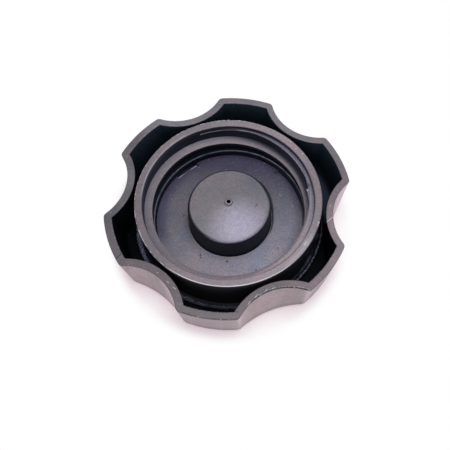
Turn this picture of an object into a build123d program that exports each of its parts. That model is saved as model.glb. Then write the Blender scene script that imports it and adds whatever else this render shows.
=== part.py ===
from build123d import *
import os
from math import cos, radians, sin, tan

# Fuel tank cap lying on its closed face, threaded side up.
# Millimetres, +Z up, origin at the centre of the closed outer face.

# Grip cover: six lobes between six scallops, open upwards.
LOBES = 6
GRIP_HEIGHT = 18.5
GRIP_RIM_RADIUS = 40.4            # across the lobes, at the open rim
END_RADIUS_SHARE = 0.963          # across the lobes at the closed face, as a share of the rim's radius
RIM_SCALLOP_SHARE = 0.41          # scallop radius as a share of the lobe circle's radius
RIM_DEPTH_SHARE = 0.155           # how far a scallop cuts in, as a share of the same radius
END_SCALLOP_SHARE = 0.925
END_DEPTH_SHARE = 0.0876
LOBE_CORNER_RIM = 1.7
LOBE_CORNER_END = 3.0
GRIP_WALL_RIM = 2.4
GRIP_WALL_END = 2.1
END_WALL = 1.8
END_EDGE_ROUNDING = 2.0
POCKET_ROUNDING = 1.2
POCKET_SHIFT = 0.15               # the pocket sits off centre along X, so the wall is thinner on that side
GRIP_RIM_ROUNDING = 0.25

# Threaded cup: collar, floor, vent boss and weld foot in one moulding.
COLLAR_PROUD = 0.5                # the collar's rim stands this far above the grip's rim
COLLAR_CLEARANCE = 1.25           # between the collar and the grip's scalloped wall at the rim
COLLAR_WALL = 2.5
COLLAR_RIM_ROUNDING = 0.4
CUP_FLOOR = 1.2
SHOULDER_WIDTH = 2.2              # step that keeps the gasket down
SHOULDER_RISE = 3.4               # from the cup's floor up to the step
FOOT_CLEARANCE = 0.1              # between the weld foot and the rounding at the pocket's foot
FOOT_THICKNESS = 0.8
WELD_BEAD_RADIUS = 0.6
VENT_CHANNEL_WIDTH = 2.0
VENT_CHANNEL_DEPTH = 0.5
VENT_CHANNELS = 3

# Internal thread, right-handed, one start.
THREAD_PITCH = 6.5
THREAD_HEIGHT = 2.5
THREAD_CREST = 1.2
THREAD_FLANK_ANGLE = 15.0
THREAD_ROOT_EMBED = 0.4
THREAD_LEAD_DEPTH = 2.5           # from the collar's rim to the middle of the lead-in
THREAD_START_ANGLE = 90.0
THREAD_LEDGE_SWEEP = 84.0         # degrees of the low, level ledge that leads to the thread
THREAD_LEDGE = 0.13               # share of the full profile that the ledge reaches
THREAD_RISE_SWEEP = 61.0          # degrees in which the ledge grows into the full thread
THREAD_FULL_SWEEP = 375.0
THREAD_RUN_OUT_SWEEP = 45.0
THREAD_TIP = 0.08                 # share of the full profile left at either end
THREAD_LEDGE_STEPS = (0, 0.25, 0.5, 0.75, 1)
THREAD_RISE_STEPS = (0, 0.35, 0.7, 1)

# Vent boss, hollow from below.
BOSS_BASE_SHARE = 0.517           # boss radius at its foot as a share of the bore's radius
BOSS_TAPER = 0.7
BOSS_EDGE_HEIGHT = 13.4           # top edge of the boss above the closed face
BOSS_CONE_RISE = 2.3
BOSS_EDGE_ROUNDING = 1.3
BOSS_WALL = 1.6
VENT_HOLE_RADIUS = 0.7
VENT_RING_RADIUS = 1.25
VENT_RING_HEIGHT = 0.25
VENT_RING_DEPTH = 0.5             # how far the ring reaches into the cone

# Sealing gasket round the boss.
GASKET_THICKNESS = 0.9
GASKET_SEAT_CLEARANCE = 0.3
GASKET_BOSS_CLEARANCE = 0.3
NOTCH_ANGLE = 107.7
NOTCH_LENGTH = 8.7
NOTCH_DEPTH = 1.1
CUTBACK_ANGLE = 25.8              # the edge is cut back clockwise from here
CUTBACK_SWEEP = 55.0
CUTBACK_DEPTH = 0.4

# Filter pad inside the boss.
FILTER_THICKNESS = 5.0
FILTER_CLEARANCE = 0.3

grip_end_radius = GRIP_RIM_RADIUS * END_RADIUS_SHARE
rim_waist = GRIP_RIM_RADIUS * (1 - RIM_DEPTH_SHARE)
end_waist = grip_end_radius * (1 - END_DEPTH_SHARE)
rim_height = GRIP_HEIGHT + COLLAR_PROUD
collar_radius = rim_waist - GRIP_WALL_RIM - COLLAR_CLEARANCE
bore_radius = collar_radius - COLLAR_WALL
cup_floor_top = END_WALL + CUP_FLOOR
shoulder_radius = bore_radius - SHOULDER_WIDTH
shoulder_height = cup_floor_top + SHOULDER_RISE
foot_radius = end_waist - GRIP_WALL_END - POCKET_SHIFT - POCKET_ROUNDING - FOOT_CLEARANCE
bead_height = END_WALL + FOOT_THICKNESS
boss_base_radius = bore_radius * BOSS_BASE_SHARE
boss_top_radius = boss_base_radius - BOSS_TAPER
chamber_radius = boss_base_radius - BOSS_WALL
chamber_top_radius = boss_top_radius - BOSS_WALL
boss_apex = BOSS_EDGE_HEIGHT + BOSS_CONE_RISE
gasket_radius = shoulder_radius - GASKET_SEAT_CLEARANCE
cutback_start = CUTBACK_ANGLE - CUTBACK_SWEEP
filter_share = FILTER_THICKNESS / (BOSS_EDGE_HEIGHT - BOSS_WALL - END_WALL)
filter_radius = chamber_radius - (chamber_radius - chamber_top_radius) * filter_share - FILTER_CLEARANCE
full_start = THREAD_LEDGE_SWEEP + THREAD_RISE_SWEEP
full_end = full_start + THREAD_FULL_SWEEP
helix_height = THREAD_FULL_SWEEP / 360 * THREAD_PITCH
channel_start = chamber_radius - VENT_CHANNEL_WIDTH / 2
channel_end = foot_radius + VENT_CHANNEL_WIDTH / 2


def lobed_outline(lobe_radius, scallop_share, waist_radius, inset):
    """Draws the six-lobed outline, moved inwards by inset, in the sketch that is open."""
    scallop_radius = lobe_radius * scallop_share
    scallop_centre = waist_radius + scallop_radius
    with PolarLocations(0, 1, start_angle=180 / LOBES):
        Circle(lobe_radius - inset)
    with PolarLocations(scallop_centre, LOBES, start_angle=180 / LOBES):
        Circle(scallop_radius + inset, mode=Mode.SUBTRACT)


def share_between(low, high, step):
    """Gives the share of the full profile at a step from a low share (0) to a high one (1)."""
    return low + (high - low) * step


def thread_middle(turned):
    """Gives the height of the profile's middle, turned degrees clockwise from the thread's start."""
    return rim_height - THREAD_LEAD_DEPTH - max(turned - THREAD_LEDGE_SWEEP, 0) / 360 * THREAD_PITCH


def thread_section(turned, share):
    """Draws the thread's profile, at a share of its full size, turned degrees clockwise from its start."""
    angle = radians(THREAD_START_ANGLE - turned)
    root = bore_radius + THREAD_ROOT_EMBED
    crest = bore_radius - THREAD_HEIGHT * share
    half_crest = THREAD_CREST / 2 * share
    half_root = half_crest + (root - crest) * tan(radians(THREAD_FLANK_ANGLE))
    section_plane = Plane(
        origin=(0, 0, thread_middle(turned)),
        x_dir=(cos(angle), sin(angle), 0),
        z_dir=(sin(angle), -cos(angle), 0),
    )
    with BuildSketch(section_plane) as section:
        with BuildLine():
            Polyline(
                (root, -half_root),
                (crest, -half_crest),
                (crest, half_crest),
                (root, half_root),
                close=True,
            )
        make_face()
    return section.sketch


# Grip cover
with BuildPart() as grip_cover:
    with BuildSketch() as end_outline:
        lobed_outline(grip_end_radius, END_SCALLOP_SHARE, end_waist, 0)
        fillet(end_outline.vertices(), LOBE_CORNER_END)
    with BuildSketch(Plane.XY.offset(GRIP_HEIGHT)) as rim_outline:
        lobed_outline(GRIP_RIM_RADIUS, RIM_SCALLOP_SHARE, rim_waist, 0)
        fillet(rim_outline.vertices(), LOBE_CORNER_RIM)
    loft(ruled=True)
    end_edges = grip_cover.edges().group_by(Axis.Z)[0]
    fillet(end_edges, END_EDGE_ROUNDING)
    with BuildSketch(Plane((POCKET_SHIFT, 0, END_WALL))) as pocket_floor:
        lobed_outline(grip_end_radius, END_SCALLOP_SHARE, end_waist, GRIP_WALL_END)
    with BuildSketch(Plane((POCKET_SHIFT, 0, GRIP_HEIGHT))) as pocket_mouth:
        lobed_outline(GRIP_RIM_RADIUS, RIM_SCALLOP_SHARE, rim_waist, GRIP_WALL_RIM)
    loft(ruled=True, mode=Mode.SUBTRACT)
    floor_edges = grip_cover.faces().filter_by_position(Axis.Z, END_WALL, END_WALL).edges()
    fillet(floor_edges, POCKET_ROUNDING)
    rim_edges = grip_cover.faces().sort_by(Axis.Z)[-1].edges()
    fillet(rim_edges, GRIP_RIM_ROUNDING)

# Thread: a full turn on a helix; a ledge on the wall rises into it, the run-out sinks into the wall
with BuildPart() as thread:
    ledge = []
    for step in THREAD_LEDGE_STEPS:
        share = share_between(THREAD_TIP, THREAD_LEDGE, step)
        ledge.append(thread_section(THREAD_LEDGE_SWEEP * step, share))
    loft(sections=ledge)
    rise = []
    run_out = []
    for step in THREAD_RISE_STEPS:
        share = share_between(THREAD_LEDGE, 1, step)
        rise.append(thread_section(THREAD_LEDGE_SWEEP + THREAD_RISE_SWEEP * step, share))
        share = share_between(1, THREAD_TIP, step)
        run_out.append(thread_section(full_end + THREAD_RUN_OUT_SWEEP * step, share))
    loft(sections=rise)
    loft(sections=run_out)
    with BuildLine() as full_path:
        Helix(THREAD_PITCH, helix_height, bore_radius, center=(0, 0, thread_middle(full_end)))
    turned_path = full_path.line.rotate(Axis.Z, THREAD_START_ANGLE - full_end)
    sweep(sections=thread_section(full_end, 1), path=turned_path, is_frenet=True)

# Threaded cup
with BuildPart() as threaded_cup:
    with BuildSketch(Plane.XZ) as cup_profile:
        with BuildLine():
            Polyline(
                (chamber_radius, END_WALL),
                (foot_radius, END_WALL),
                (foot_radius, bead_height),
                (collar_radius, bead_height),
                (collar_radius, rim_height),
                (bore_radius, rim_height),
                (bore_radius, shoulder_height),
                (shoulder_radius, shoulder_height),
                (shoulder_radius, cup_floor_top),
                (boss_base_radius, cup_floor_top),
                (boss_top_radius, BOSS_EDGE_HEIGHT),
                (0, boss_apex),
                (0, boss_apex - BOSS_WALL),
                (chamber_top_radius, BOSS_EDGE_HEIGHT - BOSS_WALL),
                close=True,
            )
        make_face()
        boss_edge = cup_profile.vertices().sort_by_distance((boss_top_radius, BOSS_EDGE_HEIGHT))[0]
        fillet(boss_edge, BOSS_EDGE_ROUNDING)
        for edge_radius in (collar_radius, bore_radius):
            rim_edge = cup_profile.vertices().sort_by_distance((edge_radius, rim_height))[0]
            fillet(rim_edge, COLLAR_RIM_ROUNDING)
        with Locations((foot_radius, bead_height)):
            Circle(WELD_BEAD_RADIUS)
        with Locations((VENT_RING_RADIUS / 2, boss_apex + (VENT_RING_HEIGHT - VENT_RING_DEPTH) / 2)):
            Rectangle(VENT_RING_RADIUS, VENT_RING_HEIGHT + VENT_RING_DEPTH)
    revolve(axis=Axis.Z)
    add(thread.part)
    with Locations((0, 0, boss_apex)):
        Cylinder(VENT_HOLE_RADIUS, (BOSS_WALL + VENT_RING_HEIGHT) * 2, mode=Mode.SUBTRACT)
    with PolarLocations((channel_start + channel_end) / 2, VENT_CHANNELS):
        with Locations((0, 0, END_WALL)):
            Box(channel_end - channel_start, VENT_CHANNEL_WIDTH, VENT_CHANNEL_DEPTH * 2, mode=Mode.SUBTRACT)

# Sealing gasket
with BuildPart() as sealing_gasket:
    with BuildSketch(Plane.XY.offset(cup_floor_top)):
        Circle(gasket_radius)
        Circle(boss_base_radius + GASKET_BOSS_CLEARANCE, mode=Mode.SUBTRACT)
        with PolarLocations(gasket_radius, 1, start_angle=NOTCH_ANGLE):
            Rectangle(NOTCH_DEPTH * 2, NOTCH_LENGTH, mode=Mode.SUBTRACT)
        with BuildLine():
            outer = CenterArc((0, 0), gasket_radius + CUTBACK_DEPTH, cutback_start, CUTBACK_SWEEP)
            inner = CenterArc((0, 0), gasket_radius - CUTBACK_DEPTH, cutback_start, CUTBACK_SWEEP)
            Line(outer @ 0, inner @ 0)
            Line(outer @ 1, inner @ 1)
        make_face(mode=Mode.SUBTRACT)
    extrude(amount=GASKET_THICKNESS)

# Filter pad
with BuildPart() as vent_filter:
    with BuildSketch(Plane.XY.offset(END_WALL)):
        Circle(filter_radius)
    extrude(amount=FILTER_THICKNESS)

grip_cover.part.label = "grip_cover"
threaded_cup.part.label = "threaded_cup"
sealing_gasket.part.label = "sealing_gasket"
vent_filter.part.label = "vent_filter"

os.makedirs("parts", exist_ok=True)
export_step(grip_cover.part, "parts/grip_cover.step")
export_step(threaded_cup.part, "parts/threaded_cup.step")
export_step(sealing_gasket.part, "parts/sealing_gasket.step")
export_step(vent_filter.part, "parts/vent_filter.step")
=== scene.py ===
"""Looks of a fuel tank cap that lies on its closed face, threaded side up.

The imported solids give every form. This script dresses them, adds the weld flash, the burrs and the moulding
flash that the solids leave out, and sets the cap on a pale floor under soft light.
"""
import logging
import math
from dataclasses import dataclass
from enum import Enum
from typing import Any, Union

import bpy
from mathutils import Matrix, Vector


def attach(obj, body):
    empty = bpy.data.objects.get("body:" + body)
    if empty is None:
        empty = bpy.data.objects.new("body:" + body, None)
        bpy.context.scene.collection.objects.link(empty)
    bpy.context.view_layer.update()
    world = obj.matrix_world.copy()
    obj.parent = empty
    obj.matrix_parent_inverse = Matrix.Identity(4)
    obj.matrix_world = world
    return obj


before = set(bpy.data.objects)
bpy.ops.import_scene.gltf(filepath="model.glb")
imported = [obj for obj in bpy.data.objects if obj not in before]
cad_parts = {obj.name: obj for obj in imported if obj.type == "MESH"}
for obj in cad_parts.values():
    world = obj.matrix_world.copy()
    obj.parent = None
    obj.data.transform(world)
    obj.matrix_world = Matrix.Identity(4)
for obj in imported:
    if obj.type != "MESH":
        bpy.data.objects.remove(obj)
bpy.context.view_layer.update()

LOG = logging.getLogger("fuel_tank_cap")
MM = 0.001
BODY = "root"
SMOOTH_ANGLE = math.radians(40)
Colour = tuple[float, float, float]
WHITE: Colour = (1.0, 1.0, 1.0)
Value = Union["Signal", float]
Span = tuple[float, float]
Point = tuple[float, float]
Segment = tuple[Point, Point]
Spot = tuple[float, float, float]  # x, y, reach
Cut = tuple[float, float, float]  # times x, times y, least sum
Sector = tuple[float, float, float]  # middle, reach, change of tone
Oval = tuple[float, float, float, float, float]  # x, y, reach along x, reach along y, change of tone
Side = tuple[float, float]  # middle and reach, in degrees
Width = tuple[float, float]  # half width, soft width
Band = tuple[float, float, float]  # middle, half width, soft width
Blot = tuple[float, float, float, float]  # x, y, reach, soft width
Patch = tuple[float, float, float, float]  # x, y, reach along x, reach along y
Slope = tuple[float, float, float]  # middle, change along x, change along y
Layer = tuple[float, float, float, float]  # features per mm, finer layers, their strength, share


# Shader expressions


class Signal:
    """One value that varies over a surface, written as a Python expression."""

    def __init__(self, graph: "Graph", socket: bpy.types.NodeSocket) -> None:
        """Wraps an output socket of a node tree."""
        self.graph = graph
        self.socket = socket

    def __add__(self, other: Value) -> "Signal":
        """Adds a value."""
        return self.graph.math("ADD", self, other)

    def __radd__(self, other: Value) -> "Signal":
        """Adds to a number."""
        return self.graph.math("ADD", other, self)

    def __sub__(self, other: Value) -> "Signal":
        """Takes a value away."""
        return self.graph.math("SUBTRACT", self, other)

    def __rsub__(self, other: Value) -> "Signal":
        """Takes this signal away from a number."""
        return self.graph.math("SUBTRACT", other, self)

    def __mul__(self, other: Value) -> "Signal":
        """Multiplies by a value."""
        return self.graph.math("MULTIPLY", self, other)

    def __rmul__(self, other: Value) -> "Signal":
        """Multiplies a number."""
        return self.graph.math("MULTIPLY", other, self)

    def __truediv__(self, other: Value) -> "Signal":
        """Divides by a value."""
        return self.graph.math("DIVIDE", self, other)

    def __rtruediv__(self, other: Value) -> "Signal":
        """Divides a number by this signal."""
        return self.graph.math("DIVIDE", other, self)

    def __neg__(self) -> "Signal":
        """Changes the sign."""
        return self.graph.math("MULTIPLY", self, -1.0)


class Graph:
    """The node tree of one material or of the world."""

    def __init__(self, owner: bpy.types.ID, output: str = "ShaderNodeOutputMaterial") -> None:
        """Empties the owner's tree and adds its output.

        Args:
            owner: The material or the world that the nodes dress.
            output: The type of the output node.
        """
        self.owner = owner
        owner.use_nodes = True
        self.tree = owner.node_tree
        self.tree.nodes.clear()
        self.output = self.node(output)

    def node(
        self,
        kind: str,
        settings: dict[str, Any] | None = None,
        inputs: dict[int | str, Any] | None = None,
    ) -> bpy.types.Node:
        """Adds a node.

        Args:
            kind: The node's type.
            settings: What is set on the node first, such as its operation.
            inputs: A value or a link for each socket, by name or number.

        Returns:
            The new node.
        """
        made = self.tree.nodes.new(kind)
        for name, value in (settings or {}).items():
            setattr(made, name, value)
        for key, value in (inputs or {}).items():
            self.plug(made.inputs[key], value)
        return made

    def plug(self, socket: bpy.types.NodeSocket, value: Any) -> None:
        """Links a signal to a socket, or sets a plain value on it.

        Args:
            socket: The input socket.
            value: A Signal, an output socket, a number or a tuple.
        """
        if isinstance(value, Signal):
            self.tree.links.new(value.socket, socket)
        elif isinstance(value, bpy.types.NodeSocket):
            self.tree.links.new(value, socket)
        elif isinstance(value, tuple) and socket.type == "RGBA" and len(value) == 3:
            socket.default_value = (*value, 1.0)
        else:
            socket.default_value = value

    def show(self, shader: bpy.types.Node) -> None:
        """Links a shader to the output."""
        self.plug(self.output.inputs["Surface"], shader.outputs[0])

    def mix(self, factor: Any, first: bpy.types.Node, second: bpy.types.Node) -> bpy.types.Node:
        """Mixes two shaders, where a factor of 0 gives the first."""
        return self.node("ShaderNodeMixShader", None, {0: factor, 1: first.outputs[0], 2: second.outputs[0]})

    def signal(self, kind: str, settings: dict[str, Any], inputs: dict[Any, Any], output: int = 0) -> Signal:
        """Adds a node and wraps one of its outputs, by number."""
        return Signal(self, self.node(kind, settings, inputs).outputs[output])

    def split(self, vector: Any) -> list[Signal]:
        """Gives the three parts of a vector."""
        return [Signal(self, part) for part in self.node("ShaderNodeSeparateXYZ", None, {0: vector}).outputs]

    def vector(self, x: Value, y: Value, z: Value = 0.0) -> Signal:
        """Joins three values to a vector."""
        return self.signal("ShaderNodeCombineXYZ", {}, {0: x, 1: y, 2: z})

    def math(self, operation: str, *values: Value) -> Signal:
        """Adds a Math node that works on the values in order."""
        return self.signal("ShaderNodeMath", {"operation": operation}, dict(enumerate(values)))

    def larger(self, first: Value, second: Value) -> Signal:
        """Gives the larger of two values."""
        return self.math("MAXIMUM", first, second)

    def smaller(self, first: Value, second: Value) -> Signal:
        """Gives the smaller of two values."""
        return self.math("MINIMUM", first, second)

    def size(self, value: Value) -> Signal:
        """Gives a value without its sign."""
        return self.math("ABSOLUTE", value)

    def length(self, x: Value, y: Value) -> Signal:
        """Gives the length of a flat vector."""
        return self.math("SQRT", x * x + y * y)

    def step(self, value: Value, low: float, high: float) -> Signal:
        """Rises smoothly from 0 at low to 1 at high, or falls where high is the lower of the two.

        Args:
            value: The signal to read.
            low: Where the result is 0.
            high: Where the result is 1.

        Returns:
            A signal from 0 to 1.
        """
        if low > high:
            return 1.0 - self.step(value, high, low)
        return self.signal(
            "ShaderNodeMapRange",
            {"interpolation_type": "SMOOTHSTEP"},
            {"Value": value, "From Min": low, "From Max": high},
        )

    def between(self, value: Value, rise: Span, fall: Span) -> Signal:
        """Rises from 0 to 1 over the first span and falls back to 0 over the second."""
        return self.step(value, *rise) * self.step(value, *fall)

    def band(self, value: Value, middle: float, half: float, soft: float) -> Signal:
        """Is 1 within half of the middle, and fades to 0 over the soft width."""
        return self.step(self.size(value - middle), half + soft, half)

    def blend(self, factor: Value, first: Any, second: Any) -> Signal:
        """Mixes two colours, where a factor of 0 gives the first."""
        settings = {"data_type": "RGBA", "clamp_factor": True}
        return self.signal("ShaderNodeMix", settings, {0: factor, 6: first, 7: second}, 2)

    def shade(self, colour: Any, amount: Value) -> Signal:
        """Multiplies a colour or another vector by a value."""
        return self.signal("ShaderNodeVectorMath", {"operation": "SCALE"}, {0: colour, "Scale": amount})

    def tint(self, colour: Any, by: Any) -> Signal:
        """Multiplies a colour by another, channel by channel."""
        return self.signal("ShaderNodeVectorMath", {"operation": "MULTIPLY"}, {0: colour, 1: by})

    def noise(self, place: Signal, scale: float, detail: float = 3.0, rough: float = 0.5) -> Signal:
        """Adds cloudy noise from 0 to 1 with its middle near 0.5.

        Args:
            place: The vector that the noise reads.
            scale: Features per unit of the vector.
            detail: The number of finer layers.
            rough: How strong the finer layers are.

        Returns:
            The noise.
        """
        return self.signal(
            "ShaderNodeTexNoise",
            {"noise_dimensions": "3D"},
            {"Vector": place, "Scale": scale, "Detail": detail, "Roughness": rough},
        )


class Place(Graph):
    """A material's nodes, with a surface point's place in millimetres and degrees, and its facing."""

    def __init__(self, owner: bpy.types.Material) -> None:
        """Reads the object's own coordinates and normal.

        Args:
            owner: The material that the nodes dress.
        """
        super().__init__(owner)
        coords = self.node("ShaderNodeTexCoord")
        self.point = self.shade(coords.outputs["Object"], 1 / MM)
        self.x, self.y, self.height = self.split(self.point)
        face_x, face_y, self.up = self.split(coords.outputs["Normal"])
        self.radius = self.length(self.x, self.y)
        self.angle = self.math("ARCTAN2", self.y, self.x) * (180 / math.pi)
        self.outward = (self.x * face_x + self.y * face_y) / self.larger(self.radius, 0.01)

    def slope(self, middle: float, along_x: float, along_y: float) -> Signal:
        """Gives a value with its middle on the axis and an even change per millimetre along X and Y."""
        return middle + self.x * along_x + self.y * along_y

    def towards(self, angle: float, reach: float) -> Signal:
        """Marks a soft sector round the axis.

        Args:
            angle: The sector's middle, in degrees.
            reach: How far it reaches to each side, in degrees.

        Returns:
            1 in its middle, falling to 0 at its edges.
        """
        turn = math.radians(angle)
        ahead = self.x * math.cos(turn) + self.y * math.sin(turn)
        share = ahead / self.larger(self.radius, 0.01)
        return self.step(share, math.cos(math.radians(reach)), 1.0)

    def away(self, x: float, y: float) -> Signal:
        """Gives the distance from a point, seen from above."""
        return self.length(self.x - x, self.y - y)

    def near(self, x: float, y: float, reach: float, soft: float) -> Signal:
        """Marks a round spot with a soft edge, seen from above."""
        return self.step(self.away(x, y), reach + soft, reach)

    def ring_mark(self, x: float, y: float, radius: float, half: float) -> Signal:
        """Marks a small ring round a point, as wide as twice the half."""
        return self.band(self.away(x, y), radius, half, half)

    def oval(self, x: float, y: float, wide: float, high: float) -> Signal:
        """Marks a soft oval.

        Args:
            x: Its middle along X, in millimetres.
            y: Its middle along Y, in millimetres.
            wide: How far it reaches along X.
            high: How far it reaches along Y.

        Returns:
            1 in its middle, falling to 0 at its edge.
        """
        share_x = (self.x - x) * (1 / wide)
        share_y = (self.y - y) * (1 / high)
        return self.step(self.length(share_x, share_y), 1.0, 0.1)

    def toned(self, tone: Value, sectors: tuple[Sector, ...] = (), ovals: tuple[Oval, ...] = ()) -> Value:
        """Paints light and shade into a tone, lighter or darker in soft sectors and ovals.

        Args:
            tone: The tone to start from.
            sectors: Each sector with its change.
            ovals: Each oval with its change.

        Returns:
            The changed tone.
        """
        for angle, reach, change in sectors:
            tone = tone + self.towards(angle, reach) * change
        for x, y, wide, high, change in ovals:
            tone = tone + self.oval(x, y, wide, high) * change
        return tone

    def specks(self, per_mm: float, reach: float, share: float, seed: float = 0.0) -> Signal:
        """Scatters small specks.

        Args:
            per_mm: Cells per millimetre.
            reach: The specks' radius, as a share of a cell.
            share: The share of the cells that hold a speck.
            seed: Moves the pattern.

        Returns:
            1 in a speck and 0 outside.
        """
        inputs = {0: self.point, 1: (seed, seed, seed)}
        moved = self.signal("ShaderNodeVectorMath", {"operation": "ADD"}, inputs)
        cells = self.node("ShaderNodeTexVoronoi", {"feature": "F1"}, {"Vector": moved, "Scale": per_mm})
        spot = self.step(Signal(self, cells.outputs["Distance"]), reach * 1.6, reach)
        shade = self.signal("ShaderNodeSeparateColor", {}, {0: cells.outputs["Color"]})
        return spot * self.step(shade, share + 0.01, share)

    def stroke(self, start: Point, end: Point, half: float, soft: float) -> Signal:
        """Marks a straight stroke between two points, seen from above.

        Args:
            start: Its first end, in millimetres.
            end: Its second end, in millimetres.
            half: Half of its width.
            soft: The width of its soft edge.

        Returns:
            1 in the stroke and 0 outside it.
        """
        run_x, run_y = end[0] - start[0], end[1] - start[1]
        length = math.hypot(run_x, run_y)
        run_x, run_y = run_x / length, run_y / length
        from_x = self.x - start[0]
        from_y = self.y - start[1]
        along = from_x * run_x + from_y * run_y
        across = from_y * run_x - from_x * run_y
        inside = self.band(along, length / 2, length / 2, soft)
        return inside * self.band(across, 0.0, half, soft)


# Finishes


@dataclass(frozen=True)
class MouldedPlastic:
    """Black plastic, grey on its upper faces, partly faded by time and hands and partly painted sheen."""

    deep: Colour = (0.0035, 0.0055, 0.0085)
    # The grey of the upper faces is partly fading and partly painted sheen.
    faded_and_sheen: Colour = (0.184, 0.147, 0.163)
    cool: Colour = (0.155, 0.139, 0.170)
    worn: Colour = (0.62, 0.58, 0.60)
    roughness: float = 0.47
    grain: float = 0.13
    grain_layers: tuple[Layer, ...] = ((0.13, 2.0, 0.5, 0.30), (0.9, 3.0, 0.6, 0.55), (2.8, 2.0, 0.7, 0.95))

    def grain_of(self, place: Place) -> Signal:
        """Mixes the mould's fine grain with cloudy patches.

        Args:
            place: Where the surface is.

        Returns:
            A factor near 1 for the colour.
        """
        factor = 1.0
        for scale, detail, rough, share in self.grain_layers:
            factor = factor + (place.noise(place.point, scale, detail, rough) - 0.5) * share
        return factor

    def tinted(self, place: Place, warm: Colour, cool: Colour) -> Signal:
        """Lets two hues drift into each other in small patches.

        Args:
            place: Where the surface is.
            warm: The reddish hue.
            cool: The bluish hue.

        Returns:
            The colour.
        """
        wide = place.noise(place.point, 0.16, 2.0)
        small = place.noise(place.point, 1.3, 2.0, 0.6)
        return place.blend(place.step(wide * 0.6 + small * 0.4, 0.36, 0.64), warm, cool)

    def finish(self, place: Place, colour: Signal, bump_scale: float = 1.0, dull: Value = 0.0) -> None:
        """Adds the surface shader with its grain.

        Args:
            place: Where the surface is.
            colour: The base colour.
            bump_scale: How deep the grain is, 1 for the usual depth.
            dull: 1 where the sheen is taken out, for a dull finish and for painted shade.
        """
        fine = place.noise(place.point, 2.6, 4.0, 0.6)
        waves = place.noise(place.point, 0.22, 2.0)
        relief = fine * 0.06 + waves * 0.22
        strength = self.grain * 4 * bump_scale
        bump = place.node("ShaderNodeBump", None, {"Strength": strength, "Distance": MM, "Height": relief})
        rough = self.roughness + (place.noise(place.point, 0.5, 3.0) - 0.5) * 0.16
        shared = {"Base Color": colour, "Roughness": rough, "Normal": bump.outputs[0]}
        bright = place.node("ShaderNodeBsdfPrincipled", None, {**shared, "IOR": 1.5})
        flat = place.node("ShaderNodeBsdfPrincipled", None, {**shared, "Specular IOR Level": 0.03})
        place.show(place.mix(dull, bright, flat))


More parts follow.
